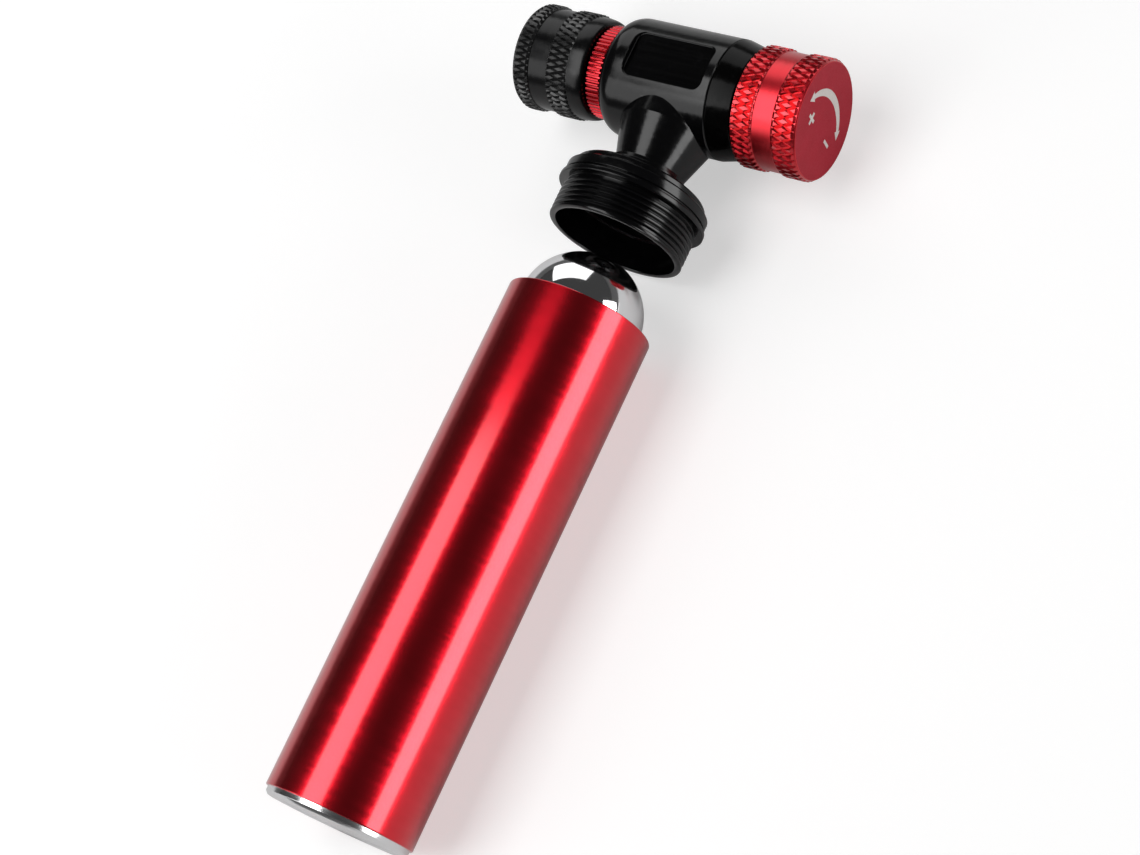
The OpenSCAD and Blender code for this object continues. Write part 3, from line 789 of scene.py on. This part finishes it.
def knobPiece():
    k = knob
    steps = knurl["parts"] * k["diamonds"]
    root, length = k["crest"] - k["depth"], k["length"]
    back = [(0.0, k["holeDeep"]), (k["hole"], k["holeDeep"]), (k["hole"], 0.0),
            *[(root - fall, wayIn) for fall, wayIn in k["backEase"]]]
    groove = knurlGroove(k["groove"], k["rear"][1], k["front"][0], k["grooveEase"])
    lip = [*[(root - fall, length - wayIn) for fall, wayIn in k["lipEase"]],
           (k["faceRing"], length), (0.0, length)]

    def column(turn):
        step = round(turn * steps)
        rear = knurlBand(step, k["rear"], k["crest"], k["depth"])
        front = knurlBand(step, k["front"], k["crest"], k["depth"])
        pairs = back + rear + groove + front + lip
        return [(radius, along + k["start"]) for radius, along in pairs]

    split = knurlSplit(back, k["rear"], groove, k["front"])
    made = turned("controlKnob", column, steps, barrelPoint, split)
    made = smooth(carve(made, [grubCutter()]), 24.0)
    dress(made, "knob", "red_knob", "control_knob")
    made.data.materials.append(finishes["knob_face"])
    for face in made.data.polygons:
        spot = face.center
        flat = abs(spot.x - (k["start"] + length) * mm) < 1e-6
        within = math.hypot(spot.y, spot.z) < (root - k["faceEdge"]) * mm
        face.material_index = 1 if flat and within else 0
    bands = [tuple(k["start"] + along for along in band) for band in (k["rear"], k["front"])]
    dressKnurl(made, "red_knurl", root - 0.05, bands)


knobPiece()
print("knob made")


# arc arrow and the plus and minus marks on the knob's face
faceMarks = {
    "face": 58.1, "deep": 0.03, "high": 0.012, "centre": (-3.7, 0.25), "radius": 8.0,
    "sweep": (56.0, -50.0), "steps": 48, "width": (0.85, 1.5), "head": (1.95, 1.6),
    "plus": (-2.2, 4.6), "minus": (-2.2, -4.0), "size": 2.3, "stroke": 0.6,
}


def inlay(name, outlines):
    m = faceMarks
    points, faces = [], []
    for outline in outlines:
        faces += ringFaces(len(outline), 2, len(points))
        for x in (m["face"] - m["deep"], m["face"] + m["high"]):
            points += [(x * mm, y * mm, z * mm) for y, z in outline]
    made = meshObject(name, points, faces)
    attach(made, "knob")
    made.data.materials.append(finishes["silver_print"])


def arrowOutline():
    m = faceMarks
    radius, (thin, thick), (wide, long) = m["radius"], m["width"], m["head"]
    outer, inner = [], []
    high, low = (math.radians(a) for a in m["sweep"])

    def spot(radius, angle):
        return (m["centre"][0] + radius * math.cos(angle),
                m["centre"][1] + radius * math.sin(angle))

    def tip(angle, sense):       # wide end, point, wide end of an arrowhead
        return [spot(radius + wide / 2, angle), spot(radius, angle + sense * (long / radius)),
                spot(radius - wide / 2, angle)]

    for step in range(m["steps"] + 1):
        share = step / m["steps"]
        angle = high + (low - high) * share
        half = (thin + (thick - thin) * math.sin(math.pi * share)) / 2
        outer.append(spot(radius + half, angle))
        inner.append(spot(radius - half, angle))
    return [*outer, *tip(low, -1), *inner[::-1], *tip(high, 1)[::-1]]


def markOutlines():
    m = faceMarks
    long, thin = m["size"] / 2, m["stroke"] / 2
    arm = [(thin, long), (thin, thin), (long, thin)]
    plus = []
    for turn in range(4):
        plus += arm
        arm = [(b, -a) for a, b in arm]
    minus = [(thin, long), (thin, -long), (-thin, -long), (-thin, long)]
    return [[(y + a, z + b) for a, b in corners]
            for corners, (y, z) in ((plus, m["plus"]), (minus, m["minus"]))]


inlay("knobArrow", [arrowOutline()])
inlay("knobMarks", markOutlines())
print("knob marks made")


socketRing = {
    "spigot": 5.2, "flange": 7.0, "start": 18.4, "floor": 21.4, "end": 22.6, "bore": 4.45,
    "ease": 0.3, "thread": 0.25, "threadIn": 0.35, "pitch": 1.06, "steps": 128,
}


def socketPiece():
    s = socketRing
    outline = eased([
        (s["spigot"], s["start"]), (s["spigot"], s["floor"]), (s["flange"], s["floor"]),
        (s["flange"], s["end"], 0.2), (s["bore"] + s["ease"], s["end"]),
        (s["bore"], s["end"] - s["ease"])])

    def column(turn):
        thread = threadColumn(turn, s["start"], s["end"] - s["threadIn"], s["bore"],
                              s["thread"], s["pitch"])
        return outline + thread[::-1]

    made = smooth(turned("socketInsert", column, s["steps"], stemPoint))
    dress(made, "head", "black_anodised", "socket_insert")


socketPiece()
print("socket insert made")


cartridge = {
    "dome": 34.5, "radius": 11.0, "wall": 1.1, "length": 89.0, "shoulder": 11.0,
    "neck": 8.5, "neckRadius": 4.75, "neckBore": 2.55, "capDeep": 0.6, "capBore": 3.3,
    "tip": 0.25, "ridge": 0.35, "pitch": 1.06, "threadIn": 0.6, "runOut": 0.2, "steps": 192,
}


def cartridgePiece():
    c = cartridge
    length, root = c["length"], c["neckRadius"] - c["ridge"]
    base = length - c["neck"] - c["shoulder"]
    neckAt = length - c["neck"]

    def shell(wall, neckRadius):
        r = c["radius"] - wall
        dome = [(r * sine, wall + r * (1 - cosine)) for sine, cosine in quarter(30)]
        end = [(neckRadius + (r - neckRadius) * cosine, base + (c["shoulder"] - wall) * sine)
               for sine, cosine in quarter(15)]
        return dome + end

    outer, inner = shell(0.0, c["neckRadius"]), shell(c["wall"], c["neckBore"])
    tip = [(root, length - c["tip"]), (root - c["tip"], length), (c["capBore"], length),
           (c["capBore"], length - c["capDeep"]), (c["neckBore"], length - c["capDeep"])]

    def column(turn):
        thread = threadColumn(turn, neckAt + c["threadIn"], length - c["threadIn"], root,
                              c["ridge"], c["pitch"], c["runOut"])
        pairs = outer + thread + tip + inner[::-1]
        return [(radius, along + c["dome"]) for radius, along in pairs]

    made = smooth(turned("cartridgeShell", column, c["steps"], stemPoint), 35.0)
    dress(made, "cartridge", "cartridge_chrome", "cartridge_shell")


cartridgePiece()
print("cartridge made")


sleeve = {
    "start": 45.5, "end": 139.0, "radius": 13.1, "edge": 0.22, "mouth": 12.5, "mouthDeep": 7.2,
    "mouthEase": 0.12, "mouthSlope": 0.5, "bore": 11.4, "thread": 0.3, "threadIn": (0.5, 0.4),
    "pitch": 1.0, "steps": 256,
}


def sleevePiece():
    s = sleeve
    start, mouthEnd = s["start"], s["start"] + s["mouthDeep"]
    outside = eased([
        (s["mouth"] + s["mouthEase"], start, 0.04), (s["radius"], start, s["edge"]),
        (s["radius"], s["end"], s["edge"]), (s["bore"], s["end"]),
        (s["bore"], mouthEnd + s["mouthSlope"]), (s["mouth"], mouthEnd),
        (s["mouth"], start + s["mouthEase"])])

    def column(turn):
        thread = threadColumn(turn, start + s["threadIn"][0], mouthEnd - s["threadIn"][1],
                              s["mouth"], s["thread"], s["pitch"])
        return outside[:-1] + thread[::-1] + outside[-1:]

    made = smooth(turned("sleeveTube", column, s["steps"], stemPoint), 35.0)
    dress(made, "sleeve", "red_sleeve", "sleeve")


sleevePiece()
print("sleeve made")


plug = {
    "start": 135.4, "spigot": 11.35, "sleeveEnd": 139.0, "rim": 12.65, "end": 140.3,
    "bevel": 0.5, "dish": 0.18, "dishRadius": 10.6, "steps": 256,
}


def plugPiece():
    p = plug
    outline = eased([
        (0.0, p["start"]), (p["spigot"], p["start"], 0.2), (p["spigot"], p["sleeveEnd"]),
        (p["rim"], p["sleeveEnd"]), (p["rim"], p["end"] - p["bevel"], 0.1),
        (p["rim"] - p["bevel"], p["end"], 0.1), (p["dishRadius"], p["end"], 0.08),
        (p["dishRadius"] - p["dish"], p["end"] - p["dish"], 0.08), (0.0, p["end"] - p["dish"])])
    made = smooth(turned("endPlug", lambda turn: outline, p["steps"], stemPoint))
    dress(made, "sleeve", "bright_plug", "end_plug")


plugPiece()
print("end plug made")


# the pieces inside, which keep their solids
insides = {
    "gland_oring": "black_rubber", "spindle_oring": "black_rubber", "valve_seat": "brass",
    "nose": "brass", "nose_snap_ring": "spring_steel", "core_pin": "brass",
    "chuck_seal": "black_rubber", "pierce_seal": "black_rubber", "piercing_pin": "spring_steel",
    "valve_pad": "white_nylon", "valve_spindle": "brass", "knob_grub_screw": "dark_steel",
    "cartridge_cap": "spring_steel", "cushion": "black_rubber",
}
for node, finish in insides.items():
    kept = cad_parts[node]
    kept.data.materials.clear()
    kept.data.materials.append(finishes[finish])
print("pieces inside dressed:", len(insides))


head, dome, middle = (0.03, 0.0, 0.004), (0.031, -0.045, 0.0), (0.031, -0.07, 0.0)
studio = {
    "centre": (0.036, -0.064), "floor": -13.9, "steps": 64,
    "pale": 0.6, "fill": 0.5, "farFill": 1.0, "glossyFill": 0.06, "near": 0.12, "far": 0.55,
    "rim": ((1.0, 0.0), (1.6, 0.12), (2.2, 0.45)), "world": 0.045,
    "watts": 4.0,                # for each square metre of a lamp and unit of radiance
    # name, place, what it faces, which way is up, width, height, radiance
    "lamps": (
        ("leftBox", (-0.093, -0.177, 0.433), middle, alongY, 0.26, 0.44, 3.0),
        ("rightBox", (0.456, 0.020, 0.090), middle, (0.0, 1.0, 0.25), 0.20, 0.38, 4.0),
        ("backBox", (-0.1295, 0.309, 0.2128), dome, (0, 0, 1), 0.42, 0.29, 1.06),
        ("lowBox", (-0.190, -0.330, 0.230), head, (0, 0, 1), 0.26, 0.25, 1.5),
    ),
}


# a flat floor whose far rim rises a little; it glows only where it's seen, more so far away
def studioFloor():
    f = studio
    steps = f["steps"]
    centre = (*f["centre"], f["floor"] * mm)
    points = [centre]
    for radius, rise in f["rim"]:
        for step in range(steps):
            angle = 2 * math.pi * step / steps
            points.append((centre[0] + radius * math.cos(angle),
                           centre[1] + radius * math.sin(angle), centre[2] + rise))
    faces = [(0, 1 + step, 1 + (step + 1) % steps) for step in range(steps)]
    for ring in range(len(f["rim"]) - 1):
        near, far = 1 + ring * steps, 1 + (ring + 1) * steps
        for step in range(steps):
            after = (step + 1) % steps
            faces.append((near + step, far + step, far + after, near + after))
    floor = meshObject("studioFloor", points, faces)
    floor.data.shade_smooth()
    made = Finish("paleFloor", {"colour": (f["pale"],) * 3, "roughness": 0.9, "specular": 0.0})
    seen, mirrored, through = (
        made.node("ShaderNodeLightPath", output=name)
        for name in ("Is Camera Ray", "Is Glossy Ray", "Is Transmission Ray"))
    offset = made.vector("SUBTRACT", made.place(), centre)
    away = made.vector("LENGTH", offset, None, "Value")
    fill = made.between(away, f["fill"], f["farFill"], f["near"], f["far"])
    strength = (seen + through) * fill + mirrored * f["glossyFill"]
    glow = made.node("ShaderNodeEmission", None, {"Color": (1, 1, 1, 1), "Strength": strength})
    plain = Signal(made, made.shader.outputs[0])
    both = made.node("ShaderNodeAddShader", None, {0: plain, 1: glow})
    made.tree.links.new(both.socket, made.tree.nodes["Material Output"].inputs["Surface"])
    floor.data.materials.append(made.material)


# links a lamp or the camera, and sets where it is and how it's turned
def stand(made, place, right, up, back):
    bpy.context.scene.collection.objects.link(made)
    turn = Matrix((right, up, back)).transposed().to_4x4()
    made.matrix_world = Matrix.Translation(place) @ turn


def lamp(name, place, target, upward, width, height, radiance):
    data = bpy.data.lights.new(name, "AREA")
    data.shape = "RECTANGLE"
    data.size, data.size_y = width, height
    data.energy = studio["watts"] * width * height * radiance
    made = bpy.data.objects.new(name, data)
    back = (Vector(place) - Vector(target)).normalized()
    right = Vector(upward).cross(back).normalized()
    stand(made, place, right, back.cross(right), back)
    made.visible_camera = False


def surround():
    world = bpy.data.worlds.new("studio")
    world.use_nodes = True
    colour = world.node_tree.nodes["Background"].inputs["Color"]
    colour.default_value = (*(studio["world"],) * 3, 1.0)
    bpy.context.scene.world = world


studioFloor()
for entry in studio["lamps"]:
    lamp(*entry)
surround()
print("studio made")


lens = {
    "place": (0.23084, -0.1561, 0.33304), "right": (0.8323, 0.4163, -0.366),
    "up": (-0.2664, 0.8794, 0.3946), "millimetres": 74.68, "sensor": 36.0,
    "clip": (0.01, 20.0),
}


def camera():
    data = bpy.data.cameras.new("lens")
    data.sensor_width = lens["sensor"]
    data.lens = lens["millimetres"]
    data.clip_start, data.clip_end = lens["clip"]
    made = bpy.data.objects.new("lens", data)
    right, up = Vector(lens["right"]).normalized(), Vector(lens["up"]).normalized()
    back = right.cross(up).normalized()
    stand(made, lens["place"], right, back.cross(right), back)
    bpy.context.scene.camera = made


camera()
bpy.context.scene.view_settings.view_transform = "Standard"
